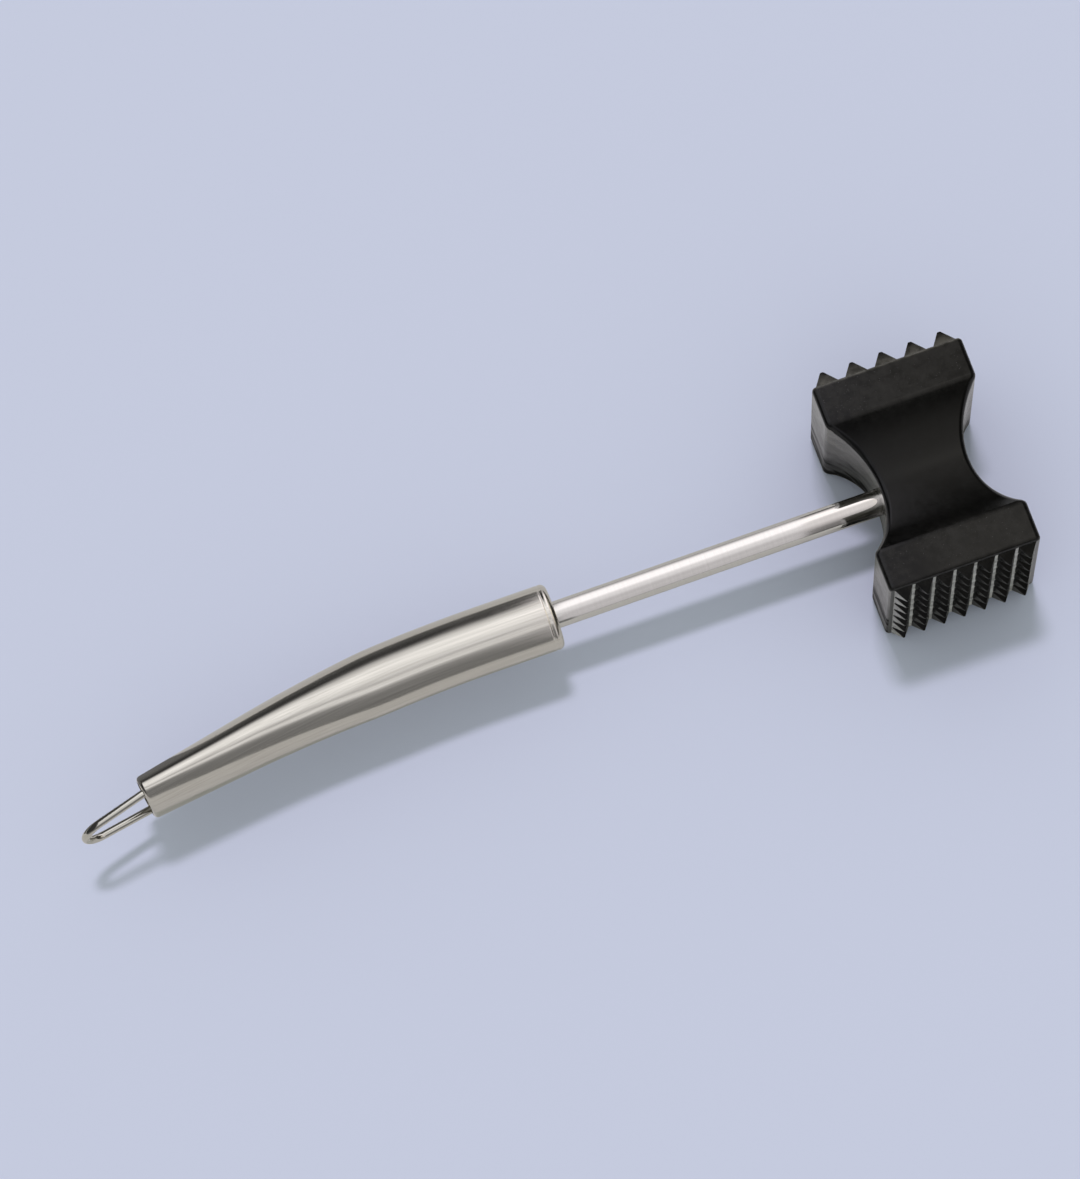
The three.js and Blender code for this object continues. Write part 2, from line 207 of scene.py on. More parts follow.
# Black non-stick coat on solid steel, sprayed and baked: nearly black from above, a sheen that
# grows where the surface is seen edge on, and the fine orange peel of a sprayed coat. The light
# grey in the valleys between the teeth is a painted reflection of a bright floor. The sides carry
# grey streaks, with a painted sheen near the top and painted shade near the foot
def blackCoatMaterial():
    coat = {
        "dark": "#040404",
        "light": "#0a0a09",
        "burnished": "#1d1c1b",  # the outer faces, rubbed by use
        # The rim colour is wear, and along the coarse rim also a painted highlight
        "rimWearAndHighlight": "#6d6a64",  # the rims of the striking faces
        "scuffsAndSheen": "#67645f",  # grey streaks along the sides, with a painted sheen that is lighter near the top
        "paintedReflection": "#cbc8c1",  # painted reflection of a bright floor, in the valleys and on the outer slopes of the fine teeth
        "peel": 0.0011,  # spacing of the orange peel; the real one is near 0.4 mm, too fine to show
        "mottle": 0.0026,  # size of the small smudges
        "streak": (0.005, 0.017, 0.0038),  # width, length and width again of a streak
        "patch": 0.019,  # size of the patches where the coat is a little more or less matt
        "ior": 1.5,
        "gloss": 0.13,
        "matt": 0.26,
        "sheen": 0.22,
        "sideTop": 0.044,  # the painted sheen on the sides is strongest near this height
        "sideFoot": 0.004,  # and the painted shade is darkest near this one
        # shine of the sides at the painted sheen and at the painted shade
        "paintedSideSheen": 0.34,
        "paintedSideShade": 0.003,
        "bump": 0.06,
        "bumpDepth": 0.0001,
    }
    material, tree = newMaterial("blackNonStickCoat")
    place = addNode(tree, "ShaderNodeTexCoord")
    patches = addNode(
        tree, "ShaderNodeTexNoise",
        {"Scale": 1 / coat["patch"], "Detail": 4.0, "Roughness": 0.6},
        {"Vector": (place, "Object")},
    )
    peel = addNode(
        tree, "ShaderNodeTexNoise",
        {"Scale": 1 / coat["peel"], "Detail": 2.0},
        {"Vector": (place, "Object")},
    )
    smudges = addNode(
        tree, "ShaderNodeTexNoise",
        {"Scale": 1 / coat["mottle"], "Detail": 3.0, "Roughness": 0.7},
        {"Vector": (place, "Object")},
    )
    uneven = addNode(
        tree, "ShaderNodeMath",
        {"operation": "ADD"},
        {0: (patches, "Fac"), 1: (smudges, "Fac")},
    )
    shade = addNode(
        tree, "ShaderNodeMapRange",
        {"From Min": 0.75, "From Max": 1.25},
        {"Value": (uneven, "Value")},
    )
    sprayed = addNode(
        tree, "ShaderNodeMix",
        {"data_type": "RGBA", 6: toLinear(coat["dark"]), 7: toLinear(coat["light"])},
        {0: (shade, "Result")},
    )
    drawn = addNode(
        tree, "ShaderNodeMapping",
        {"vector_type": "POINT", "Scale": [1 / size for size in coat["streak"]]},
        {"Vector": (place, "Object")},
    )
    lines = addNode(
        tree, "ShaderNodeTexNoise",
        {"Scale": 1.0, "Detail": 2.0, "Roughness": 0.5},
        {"Vector": (drawn, "Vector")},
    )
    # Each kind of wear and painted light is a mark on the mesh, broken up by smudges or streaks
    broken = addNode(
        tree, "ShaderNodeMapRange",
        {"From Min": 0.38, "From Max": 0.6, "To Min": 0.45, "To Max": 1.0},
        {"Value": (smudges, "Fac")},
    )
    # The sides get a painted sheen near the top that fades into painted shade at the foot, in uneven
    # patches
    parts = addNode(tree, "ShaderNodeSeparateXYZ", links={"Vector": (place, "Object")})
    height = addNode(
        tree, "ShaderNodeMapRange",
        {
            "clamp": False, "From Min": coat["sideFoot"], "From Max": coat["sideTop"],
            "To Min": -0.5, "To Max": 0.5,
        },
        {"Value": (parts, "Z")},
    )
    ragged = addNode(
        tree, "ShaderNodeMath",
        {"operation": "ADD"},
        {0: (height, "Result"), 1: (lines, "Fac")},
    )
    # Painted sheen and shade: the grey streaks of the sides are lighter higher up
    streaksAndSheen = addNode(
        tree, "ShaderNodeMapRange",
        {"From Min": 0.25, "From Max": 1.15},
        {"Value": (ragged, "Value")},
    )
    # The shine of the sides follows the same painted sheen, and sinks to painted shade at the foot
    paintedSideSheen = addNode(
        tree, "ShaderNodeMapRange",
        {"From Min": 0.1, "From Max": 0.85, "To Min": coat["paintedSideShade"], "To Max": coat["paintedSideSheen"]},
        {"Value": (ragged, "Value")},
    )
    sideMark = addNode(
        tree, "ShaderNodeAttribute",
        {"attribute_type": "GEOMETRY", "attribute_name": "side"},
    )
    sheen = addNode(
        tree, "ShaderNodeMix",
        {"data_type": "FLOAT", 2: coat["sheen"]},
        {0: (sideMark, "Fac"), 3: (paintedSideSheen, "Result")},
    )
    colour = sprayed
    marksOfWearAndLight = (
        ("outer", "burnished", shade), ("side", "scuffsAndSheen", streaksAndSheen),
        ("rim", "rimWearAndHighlight", broken), ("paintedReflectionMark", "paintedReflection", broken),
    )
    for mark, finish, pattern in marksOfWearAndLight:
        marked = addNode(
            tree, "ShaderNodeAttribute",
            {"attribute_type": "GEOMETRY", "attribute_name": mark},
        )
        share = addNode(
            tree, "ShaderNodeMath",
            {"operation": "MULTIPLY"},
            {0: (marked, "Fac"), 1: (pattern, "Result")},
        )
        colour = addNode(
            tree, "ShaderNodeMix",
            {"data_type": "RGBA", 7: toLinear(coat[finish])},
            {0: (share, "Value"), 6: (colour, 2)},
        )
    rough = addNode(
        tree, "ShaderNodeMapRange",
        {"From Min": 0.75, "From Max": 1.25, "To Min": coat["gloss"], "To Max": coat["matt"]},
        {"Value": (uneven, "Value")},
    )
    bump = addNode(
        tree, "ShaderNodeBump",
        {"Strength": coat["bump"], "Distance": coat["bumpDepth"]},
        {"Height": (peel, "Fac")},
    )
    shader = addNode(
        tree, "ShaderNodeBsdfPrincipled",
        {"IOR": coat["ior"]},
        {
            "Base Color": (colour, 2), "Roughness": (rough, "Result"),
            "Specular IOR Level": (sheen, 0), "Normal": (bump, "Normal"),
        },
    )
    finishMaterial(tree, shader)
    return material


brushDepth = 0.00005  # of the lines in the steel, before the share that "bump" gives


# Stainless steel. The lines of its polish or brush follow one direction, so the noise is stretched
# along it: fine lines a little lighter and darker, and a little more and less sharp
def steelMaterial(name, steel):
    material, tree = newMaterial(name)
    if steel["attribute"]:
        place = addNode(
            tree, "ShaderNodeAttribute",
            {"attribute_type": "GEOMETRY", "attribute_name": steel["attribute"]},
        )
        source = (place, "Vector")
    else:
        place = addNode(tree, "ShaderNodeTexCoord")
        source = (place, "Object")
    stretch = [1 / size for size in steel["lines"]]
    lined = addNode(
        tree, "ShaderNodeMapping",
        {"vector_type": "POINT", "Scale": stretch},
        {"Vector": source},
    )
    lines = addNode(
        tree, "ShaderNodeTexNoise",
        {"Scale": 1.0, "Detail": 3.0, "Roughness": 0.65},
        {"Vector": (lined, "Vector")},
    )
    smears = addNode(
        tree, "ShaderNodeTexNoise",
        {"Scale": 1 / steel["smear"], "Detail": 3.0},
        {"Vector": source},
    )
    colour = addNode(
        tree, "ShaderNodeMix",
        {"data_type": "RGBA", 6: toLinear(steel["dark"]), 7: toLinear(steel["light"])},
        {0: (lines, "Fac")},
    )
    both = addNode(
        tree, "ShaderNodeMath",
        {"operation": "ADD"},
        {0: (lines, "Fac"), 1: (smears, "Fac")},
    )
    rough = addNode(
        tree, "ShaderNodeMapRange",
        {"From Min": 0.6, "From Max": 1.4, "To Min": steel["sharp"], "To Max": steel["soft"]},
        {"Value": (both, "Value")},
    )
    bump = addNode(
        tree, "ShaderNodeBump",
        {"Strength": steel["bump"], "Distance": brushDepth},
        {"Height": (lines, "Fac")},
    )
    shader = addNode(
        tree, "ShaderNodeBsdfPrincipled",
        {"Metallic": 1.0},
        {"Base Color": (colour, 2), "Roughness": (rough, "Result"), "Normal": (bump, "Normal")},
    )
    finishMaterial(tree, shader)
    return material


blackCoat = blackCoatMaterial()
# Ground and polished rod: a mirror with faint rings left by the polishing wheel
polishedSteel = steelMaterial("polishedSteel", {
    "attribute": None, "lines": (0.0006, 0.02, 0.02), "smear": 0.012,
    "dark": "#cfccc3", "light": "#dad7ce", "sharp": 0.05, "soft": 0.09, "bump": 0.02,
})
# Tube brushed along its length with a fine belt: broad reflections with soft edges
brushedSteel = steelMaterial("brushedSteel", {
    "attribute": "unbent", "lines": (0.04, 0.0007, 0.0007), "smear": 0.015,
    "dark": "#b3aea3", "light": "#e9e4d8", "sharp": 0.12, "soft": 0.2, "bump": 0.12,
})
# Pressed steel straight from the die, with no polish: dull grey with a fine grain
plainSteel = steelMaterial("pressedSteel", {
    "attribute": None, "lines": (0.0009, 0.0009, 0.0009), "smear": 0.006,
    "dark": "#8f8c85", "light": "#a9a69e", "sharp": 0.28, "soft": 0.4, "bump": 0.1,
})
# Drawn and polished wire: bright, with hairlines along it
polishedWire = steelMaterial("polishedWire", {
    "attribute": None, "lines": (0.006, 0.0006, 0.0006), "smear": 0.005,
    "dark": "#c6c2b6", "light": "#d6d2c6", "sharp": 0.07, "soft": 0.13, "bump": 0.03,
})
print("materials made:", len(bpy.data.materials))


def dress(piece, node, material):
    # Stands a finished piece in for its node
    piece.data.materials.clear()
    piece.data.materials.append(material)
    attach(piece, "root")
    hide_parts(node)
    triangles = sum(len(face.vertices) - 2 for face in piece.data.polygons)
    print("made", piece.name, "with", triangles, "triangles")


# Camera, from above and a little from the handle's end, as the photograph was taken
camera = {
    "place": (-0.085169, -0.423325, 1.501957),
    "azimuth": -11.819,
    "elevation": 73.403,
    "roll": -7.874,
    "lens": 162.85,
    "sensor": 36,
}
cameraData = bpy.data.cameras.new("camera")
cameraData.lens = camera["lens"]
cameraData.sensor_width = camera["sensor"]
cameraObject = bpy.data.objects.new("camera", cameraData)
bpy.context.scene.collection.objects.link(cameraObject)
cameraObject.matrix_world = (
    Matrix.Translation(camera["place"])
    @ Matrix.Rotation(math.radians(camera["azimuth"]), 4, "Z")
    @ Matrix.Rotation(math.radians(90 - camera["elevation"]), 4, "X")
    @ Matrix.Rotation(math.radians(camera["roll"]), 4, "Z")
)
bpy.context.scene.camera = cameraObject
print("camera set")


# Head
headSize = {
    "width": 0.046,
    "length": 0.065,
    "waistWidth": 0.0272,
    "waistRadius": 0.026,
    "waistBlend": 0.0025,
    "cornerRadius": 0.0017,
    "endRadius": 0.0012,
    "waistSteps": 18,  # from the middle of the waist to one end of it
    "blendSteps": 6,
    "cornerSteps": 5,
    "boreGap": 0.00012,  # between the rod and the hole that it sits in
    "boreDepth": 0.022,
    "boreSides": 96,
    "sharpAngle": 35,
}
coarseTeeth = {
    "count": 5, "margin": 0.0015, "valley": 0.002,
    "tip": 0.00095, "height": 0.0047, "edge": 0.0002, "edgeSteps": 2,
}
fineTeeth = {
    "count": 7, "margin": 0.0015, "valley": 0.00085,
    "tip": 0.00045, "height": 0.0034, "edge": 0.00011, "edgeSteps": 2,
}

# How strongly each mark is laid on, from none at 0 to all at 1: wear, and the painted reflection, sheen
# and highlight
wearAndPaintedLight = {
    "coarseValley": 0.35,
    "fineValley": 1,
    "coarseTooth": 0.05,
    "fineTooth": 0.45,
    "side": 1,
    "outerSlope": 0.5,  # of the fine teeth along both sides of their field
    "coarseRim": 1,
    "fineRim": 0.05,
    "fade": 6,  # power by which the wear of the outer faces fades towards the waist
}


def headProfile():
    # Distance from the middle of the waist and half width, from the middle to one striking face
    half = headSize["width"] / 2
    radius = headSize["waistRadius"]
    blend = headSize["waistBlend"]
    waistCentre = headSize["waistWidth"] / 2 + radius
    blendCentre = half - blend
    drop = waistCentre - blendCentre
    blendPlace = math.sqrt((radius + blend) ** 2 - drop ** 2)
    meeting = math.atan2(blendPlace, drop)
    waist = [
        (radius * math.sin(meeting * share), waistCentre - radius * math.cos(meeting * share))
        for share in evenly(headSize["waistSteps"])
    ]
    blended = arcPoints(
        blendPlace, blendCentre, blend, quarterTurn + meeting, quarterTurn, headSize["blendSteps"]
    )
    return waist + blended[1:] + [(headSize["length"] / 2, half)]


def toothField(teeth, side):
    # Opens one end of the head, lays a plane there, cuts it into teeth and valleys, and draws the
    # teeth out
    endY = axisY + side * headSize["length"] / 2
    width = headSize["width"] - 2 * teeth["margin"]
    pitch = (width + teeth["valley"]) / teeth["count"]
    base = pitch - teeth["valley"]
    near = headSize["endRadius"] / 4

    def atEnd(part):
        return abs(part.y - endY) < near

    selectOnly("FACE", lambda face: all(atEnd(corner.co) for corner in face.verts))
    bpy.ops.mesh.delete(type="ONLY_FACE")
    bpy.ops.mesh.primitive_plane_add(
        size=width, location=(headX, endY, axisZ), rotation=(-side * quarterTurn, 0, 0)
    )
    starts = [index * pitch - width / 2 for index in range(teeth["count"])]
    cuts = [start + base for start in starts[:-1]] + starts[1:]
    for axis, middle in (("x", headX), ("z", axisZ)):
        for cut in cuts:
            point = Vector((headX, endY, axisZ))
            setattr(point, axis, middle + cut)
            normal = Vector((axis == "x", 0, axis == "z"))
            selectOnly("FACE", lambda face: all(atEnd(corner.co) for corner in face.verts))
            bpy.ops.mesh.bisect(plane_co=point, plane_no=normal)
    # The strip between the plane and the rim of the head
    selectOnly("EDGE", lambda edge: edge.is_boundary and all(atEnd(corner.co) for corner in edge.verts))
    bpy.ops.mesh.fill(use_beauty=True)

    def onTooth(place):
        offsets = [(place.x - headX + width / 2) % pitch, (place.z - axisZ + width / 2) % pitch]
        inside = max(abs(place.x - headX), abs(place.z - axisZ)) < width / 2 - base / 4
        return inside and all(abs(offset - base / 2) < base / 8 for offset in offsets)

    count = selectOnly(
        "FACE",
        lambda face: atEnd(face.calc_center_median()) and onTooth(face.calc_center_median()),
    )
    bpy.ops.mesh.inset(
        thickness=(base - teeth["tip"]) / 2, depth=teeth["height"],
        use_individual=True, use_even_offset=True,
    )
    # A little round on the tips and on the four slanting edges of each tooth
    tipY = endY + side * teeth["height"]
    selectOnly("EDGE", lambda edge: any(abs(corner.co.y - tipY) < near for corner in edge.verts))
    bpy.ops.mesh.bevel(
        offset=teeth["edge"], segments=teeth["edgeSteps"], profile=0.5, affect="EDGES"
    )
    return count


def markCoat(piece):
    # Marks where the painted reflection lies, the sides of the block, how near each point is to the
    # outer faces, and the rims of the striking faces
    paintedReflection = piece.data.attributes.new("paintedReflectionMark", "FLOAT", "FACE")
    sides = piece.data.attributes.new("side", "FLOAT", "FACE")
    outer = piece.data.attributes.new("outer", "FLOAT", "POINT")
    rim = piece.data.attributes.new("rim", "FLOAT", "POINT")
    ends = headSize["length"] / 2
    near = headSize["endRadius"] / 4
    inside = headSize["width"] / 2 - fineTeeth["margin"]
    waist = headSize["waistWidth"] / 2
    level = 0.99  # least share of Y in the normal of a flat floor
    sideways = 0.5  # least share of X in the normal of a side, whose blend leans the most
    upwards = 0.1  # most share of Z there, which leaves out the rounded edges
    slant = 0.7  # least share of X in the normal of a slope that faces outwards

    def offMiddle(place):
        return max(abs(place.x - headX), abs(place.z - axisZ))

    for face in piece.data.polygons:
        middle = face.center
        atEnd = abs(abs(middle.y - axisY) - ends) < near and abs(face.normal.y) > level
        # The painted reflection of a bright floor lies on the valley floors and on the outer slopes of
        # the fine teeth
        valleyReflection = wearAndPaintedLight["coarseValley" if middle.y > axisY else "fineValley"]
        paintedReflection.data[face.index].value = valleyReflection if atEnd and offMiddle(middle) < inside else 0
        outwards = face.normal.x * (middle.x - headX)
        if axisY - middle.y > ends + near and outwards > slant * (inside - fineTeeth["height"]):
            paintedReflection.data[face.index].value = wearAndPaintedLight["outerSlope"]
        # The sides carry the streaks with painted sheen and painted shade
        turnedAside = abs(face.normal.x) > sideways and abs(face.normal.z) < upwards
        onSide = turnedAside and abs(middle.y - axisY) < ends
        sides.data[face.index].value = wearAndPaintedLight["side"] if onSide else 0
    for vertex in piece.data.vertices:
        share = (offMiddle(vertex.co) - waist) / (headSize["width"] / 2 - waist)
        along = abs(vertex.co.y - axisY)
        end = "coarse" if vertex.co.y > axisY else "fine"
        onTooth = along > ends + near
        rubbed = max(share, 0) ** wearAndPaintedLight["fade"]
        outer.data[vertex.index].value = wearAndPaintedLight[end + "Tooth"] if onTooth else rubbed
        # The rims carry wear and, strongest on the coarse rim, a painted highlight on the bevel
        if ends - headSize["endRadius"] < along < ends + near and offMiddle(vertex.co) > inside:
            turned = 1 - abs(2 * vertex.normal.y ** 2 - 1)
            rim.data[vertex.index].value = turned * wearAndPaintedLight[end + "Rim"]


def makeHead():
    half = headProfile()
    rings = [(-y, width) for y, width in reversed(half[1:])] + half
    deselectAll()
    startY, startHalf = rings[0]
    bpy.ops.mesh.primitive_plane_add(
        size=2 * startHalf, location=(headX, axisY + startY, axisZ), rotation=(quarterTurn, 0, 0)
    )
    piece = takePrimitive("headBlock")
    bpy.ops.object.mode_set(mode="EDIT")
    for before, after in zip(rings, rings[1:]):
        bpy.ops.mesh.extrude_region_move(
            TRANSFORM_OT_translate={"value": (0, after[0] - before[0], 0)}
        )
        size = after[1] / before[1]
        bpy.ops.transform.resize(
            value=(size, 1, size), center_override=(headX, axisY + after[0], axisZ)
        )
    cleanUp()
    ends = headSize["length"] / 2
    near = headSize["endRadius"] / 4

    def atOneEnd(corner):
        return abs(abs(corner.co.y - axisY) - ends) < near

    def isLong(edge):
        first, second = edge.verts
        return abs(first.co.y - second.co.y) > near / 4

    selectOnly("EDGE", isLong)
    bpy.ops.mesh.bevel(
        offset=headSize["cornerRadius"], segments=headSize["cornerSteps"], profile=0.5, affect="EDGES"
    )
    selectOnly("EDGE", lambda edge: all(atOneEnd(corner) for corner in edge.verts))
    bpy.ops.mesh.bevel(
        offset=headSize["endRadius"], segments=headSize["cornerSteps"], profile=0.5, affect="EDGES"
    )
    counts = [toothField(coarseTeeth, 1), toothField(fineTeeth, -1)]
    print("teeth on the two faces:", counts)
    cleanUp()
    bpy.ops.object.mode_set(mode="OBJECT")
    # Hole for the rod, from the side of the waist
    mouth = headX - headSize["waistWidth"] / 2
    outside = headSize["boreDepth"] / 4
    deselectAll()
    bpy.ops.mesh.primitive_cylinder_add(
        vertices=headSize["boreSides"],
        radius=(rodHigh.z - rodLow.z) / 2 + headSize["boreGap"],
        depth=headSize["boreDepth"] + outside,
        location=(mouth + (headSize["boreDepth"] - outside) / 2, axisY, axisZ),
        rotation=(0, quarterTurn, 0),
    )
    drill = takePrimitive("drill")
    cutAway(piece, [drill])
    smoothShading(piece, headSize["sharpAngle"])
    markCoat(piece)
    dress(piece, "head", blackCoat)


makeHead()


# Rod
rodSize = {"chamfer": 0.0008, "sides": 96, "sharpAngle": 30}


def makeRod():
    radius = (rodHigh.z - rodLow.z) / 2
    chamfer = rodSize["chamfer"]
    places = [
        (rodHigh.x, radius - chamfer),
        (rodHigh.x - chamfer, radius),
        (rodLow.x + chamfer, radius),
        (rodLow.x, radius - chamfer),
    ]
    rings = [(Vector((x, axisY, axisZ)), 0, size, size) for x, size in places]
    piece = sweepRings("rodBar", rings, rodSize["sides"], False)
    smoothShading(piece, rodSize["sharpAngle"])
    dress(piece, "rod", polishedSteel)


makeRod()


# Handle
handleSize = {
    "length": 0.1294,
    "diameter": 0.0197,
    "tailThickness": 0.0114,  # the round tube is pressed to an oval towards its tail
    "tailWidth": 0.0264,
    "ovalLength": 0.0728,
    "ovalBlend": 0.008,
    "wall": 0.001,
    "frontRim": 0.0017,
    "tailRim": 0.0013,
    "groovePlace": 0.0024,  # fine line rolled in behind the front rim
    "grooveWidth": 0.0007,
    "grooveDepth": 0.00013,
    "grooveTurns": (-1, -0.6, 0, 0.6, 1),  # where its bottom is drawn, from one edge to the other
    "bendStart": 0.0215,
    "bendRadius": 0.464,
    "bendAngle": 9.4,
    "sides": 120,
    "outerSteps": 56,
    "innerSteps": 28,
    "rimSteps": 9,
    "unbentSteps": 200,
    "sharpAngle": 40,
}


def alongHandle(distance):
    # Place and heading of the middle of the handle, at a distance from its front rim
    radius = handleSize["bendRadius"]
    start = handleSize["bendStart"]
    angle = min(max((distance - start) / radius, 0), math.radians(handleSize["bendAngle"]))
    before = min(distance, start)
    after = max(distance - start - angle * radius, 0)
    out = before + radius * math.sin(angle) + after * math.cos(angle)
    aside = radius * (1 - math.cos(angle)) + after * math.sin(angle)
    return Vector((handleFront - out, axisY - aside, axisZ)), angle


def handleRing(distance, depth):
    # Ring of the handle at a distance from its front rim and a depth under its outside
    radius = handleSize["diameter"] / 2
    blend = handleSize["ovalBlend"]
    past = distance - (handleSize["length"] - handleSize["ovalLength"]) + blend / 2
    blended = min(max(past, 0), blend)
    rest = max(past - blend, 0)
    share = (blended ** 2 / (2 * blend) + rest) / handleSize["ovalLength"]
    thick = radius + (handleSize["tailThickness"] / 2 - radius) * share
    wide = radius + (handleSize["tailWidth"] / 2 - radius) * share
    return (*alongHandle(distance), thick - depth, wide - depth)


def followHandle(name, profile, sides):
    # Sweeps a closed profile of distances and depths round the middle of the handle
    return sweepRings(name, [handleRing(*place) for place in profile], sides, True)


def keepUnbent(piece):
    # Stores where each point would be if the handle were straight, for the brush lines
    steps = [handleSize["length"] * share for share in evenly(handleSize["unbentSteps"])]
    stations = [(distance, *alongHandle(distance)) for distance in steps]
    unbent = piece.data.attributes.new("unbent", "FLOAT_VECTOR", "POINT")
    for index, vertex in enumerate(piece.data.vertices):
        def ahead(station):
            _, place, angle = station
            return (vertex.co - place).dot(Vector((-math.cos(angle), -math.sin(angle), 0)))

        distance, place, angle = min(stations, key=lambda station: abs(ahead(station)))
        along = distance + ahead((distance, place, angle))
        across = (vertex.co - place).dot(Vector((-math.sin(angle), math.cos(angle), 0)))
        unbent.data[index].vector = (along, across, vertex.co.z - axisZ)


def makeHandle():
    length = handleSize["length"]
    wall = handleSize["wall"]
    frontRim = handleSize["frontRim"]
    tailRim = handleSize["tailRim"]
    tailCentre = length - tailRim
    straight = tailCentre - frontRim
    rim = handleSize["rimSteps"]
    groove = handleSize["groovePlace"]
    halfGroove = handleSize["grooveWidth"] / 2
    smooth = groove + 2 * halfGroove
    profile = (
        arcPoints(frontRim, frontRim, frontRim, -halfTurn, -quarterTurn, rim)
        + [
            (groove + halfGroove * turn, handleSize["grooveDepth"] * (1 - turn ** 2))
            for turn in handleSize["grooveTurns"]
        ]
        + [(smooth + (tailCentre - smooth) * share, 0) for share in evenly(handleSize["outerSteps"])]
        + arcPoints(tailCentre, tailRim, tailRim, -quarterTurn, 0, rim)[1:]
        + arcPoints(tailCentre, tailRim, tailRim - wall, 0, -quarterTurn, rim)[:-1]
        + [(tailCentre - straight * share, wall) for share in evenly(handleSize["innerSteps"])]
        + arcPoints(frontRim, frontRim, frontRim - wall, -quarterTurn, -halfTurn, rim)[1:]
    )
    piece = followHandle("handleGrip", profile, handleSize["sides"])
    smoothShading(piece, handleSize["sharpAngle"])
    keepUnbent(piece)
    dress(piece, "handle_tube", brushedSteel)


makeHandle()


# Front cap
frontCapSize = {
    "wall": 0.0012,
    "skirt": 0.007,
    "collar": 0.006,
    "corner": 0.001,
    "gap": 0.0001,
    "sides": 72,
    "mouthSteps": 6,
    "cornerSteps": 8,
    "sharpAngle": 40,
}


def makeFrontCap():
    size = frontCapSize
    face = handleFront - capHigh.x
    wall = size["wall"]
    corner = size["corner"]
    outside = (handleSize["diameter"] - (capHigh.z - capLow.z)) / 2
    hole = (handleSize["diameter"] - (rodHigh.z - rodLow.z)) / 2 - size["gap"]
    # From the rounded mouth of the collar out to the skirt, and back inside
    profile = (
        arcPoints(face + wall, hole - wall, wall, quarterTurn, halfTurn, size["mouthSteps"])
        + arcPoints(
            face + corner, outside + corner, corner, -halfTurn, -quarterTurn, size["cornerSteps"]
        )
        + [(face + size["skirt"], outside), (face + size["skirt"], outside + wall)]
        + [(face + wall * 2, outside + wall), (face + wall * 2, hole - wall * 2)]
        + [(face + size["collar"], hole - wall), (face + size["collar"], hole)]
    )
    piece = followHandle("frontCup", profile, size["sides"])
    smoothShading(piece, size["sharpAngle"])
    dress(piece, "front_cap", plainSteel)


makeFrontCap()


# Hanging loop
loopSize = {
    "wire": 0.0024,
    "spacing": 0.0186,  # between the two legs where they leave the handle
    "tipRadius": 0.0067,
    "legRadius": 0.006,  # of the bend at the foot of each leg
    "legFoot": -0.0004,  # where a leg has turned to run straight into the handle
    "reach": 0.0216,
    "insert": 0.009,
    "offset": 0.001,
    "lean": 3.4,
    "sides": 32,
    "tipSteps": 26,
    "legSteps": 8,
    "sharpAngle": 40,
}


def beyondTail(out, across, up):
    # Place out along the leaning plane of the loop, across it and up
    place, angle = alongHandle(handleSize["length"])
    aside = Vector((-math.sin(angle), math.cos(angle), 0))
    leaning = angle + math.radians(loopSize["lean"])
    ahead = Vector((-math.cos(leaning), -math.sin(leaning), 0))
    return place + ahead * out + aside * across + Vector((0, 0, up))


def loopHalf():
    # Middle of the wire from the tip to the end of one leg: distance out and height
    size = loopSize
    tip = size["tipRadius"]
    bend = size["legRadius"]
    height = size["spacing"] / 2
    tipCentre = size["reach"] - size["wire"] / 2 - tip
    footOut = size["legFoot"]
    distance = math.hypot(tipCentre - footOut, height - bend)
    rise = math.atan2(height - bend, tipCentre - footOut)
    slope = rise - math.asin((tip - bend) / distance)
    points = arcPoints(tipCentre, 0, tip, 0, quarterTurn - slope, size["tipSteps"])
    foot = arcPoints(footOut, height - bend, bend, quarterTurn - slope, quarterTurn, size["legSteps"])
    start, end = points[-1], foot[0]
    points += [
        (start[0] + (end[0] - start[0]) * share, start[1] + (end[1] - start[1]) * share)
        for share in evenly(size["legSteps"])[1:-1]
    ]
    return points + foot + [(-size["insert"], height)]


def makeLoop():
    # The wire is bent in the flat, then stood upright in its place behind the tail
    half = loopHalf()
    path = [(out, -up) for out, up in reversed(half[1:])] + half
    points = [Vector((-out, up, 0)) for out, up in path]
    radius = loopSize["wire"] / 2
    rings = []
    for index, point in enumerate(points):
        ahead = points[min(index + 1, len(points) - 1)] - points[max(index - 1, 0)]
        turn = math.atan2(-ahead.y, -ahead.x)
        if rings:
            turn -= 2 * halfTurn * round((turn - rings[-1][1]) / (2 * halfTurn))
        rings.append((point, turn, radius, radius))
    piece = sweepRings("wireLoop", rings, loopSize["sides"], False)
    _, angle = alongHandle(handleSize["length"])
    piece.location = beyondTail(0, -loopSize["offset"], 0)
    piece.rotation_euler = (quarterTurn, 0, angle + math.radians(loopSize["lean"]))
    bpy.ops.object.transform_apply(location=True, rotation=True, scale=True)
    smoothShading(piece, loopSize["sharpAngle"])
    dress(piece, "hanging_loop", polishedWire)


makeLoop()


# Tail cap
tailCapSize = {
    "thickness": 0.0022,
    "corner": 0.0009,
    "gap": 0.0003,
    "holeGap": 0.0002,
    "sides": 96,
    "holeSides": 40,
    "cornerSteps": 8,
    "sharpAngle": 40,
}


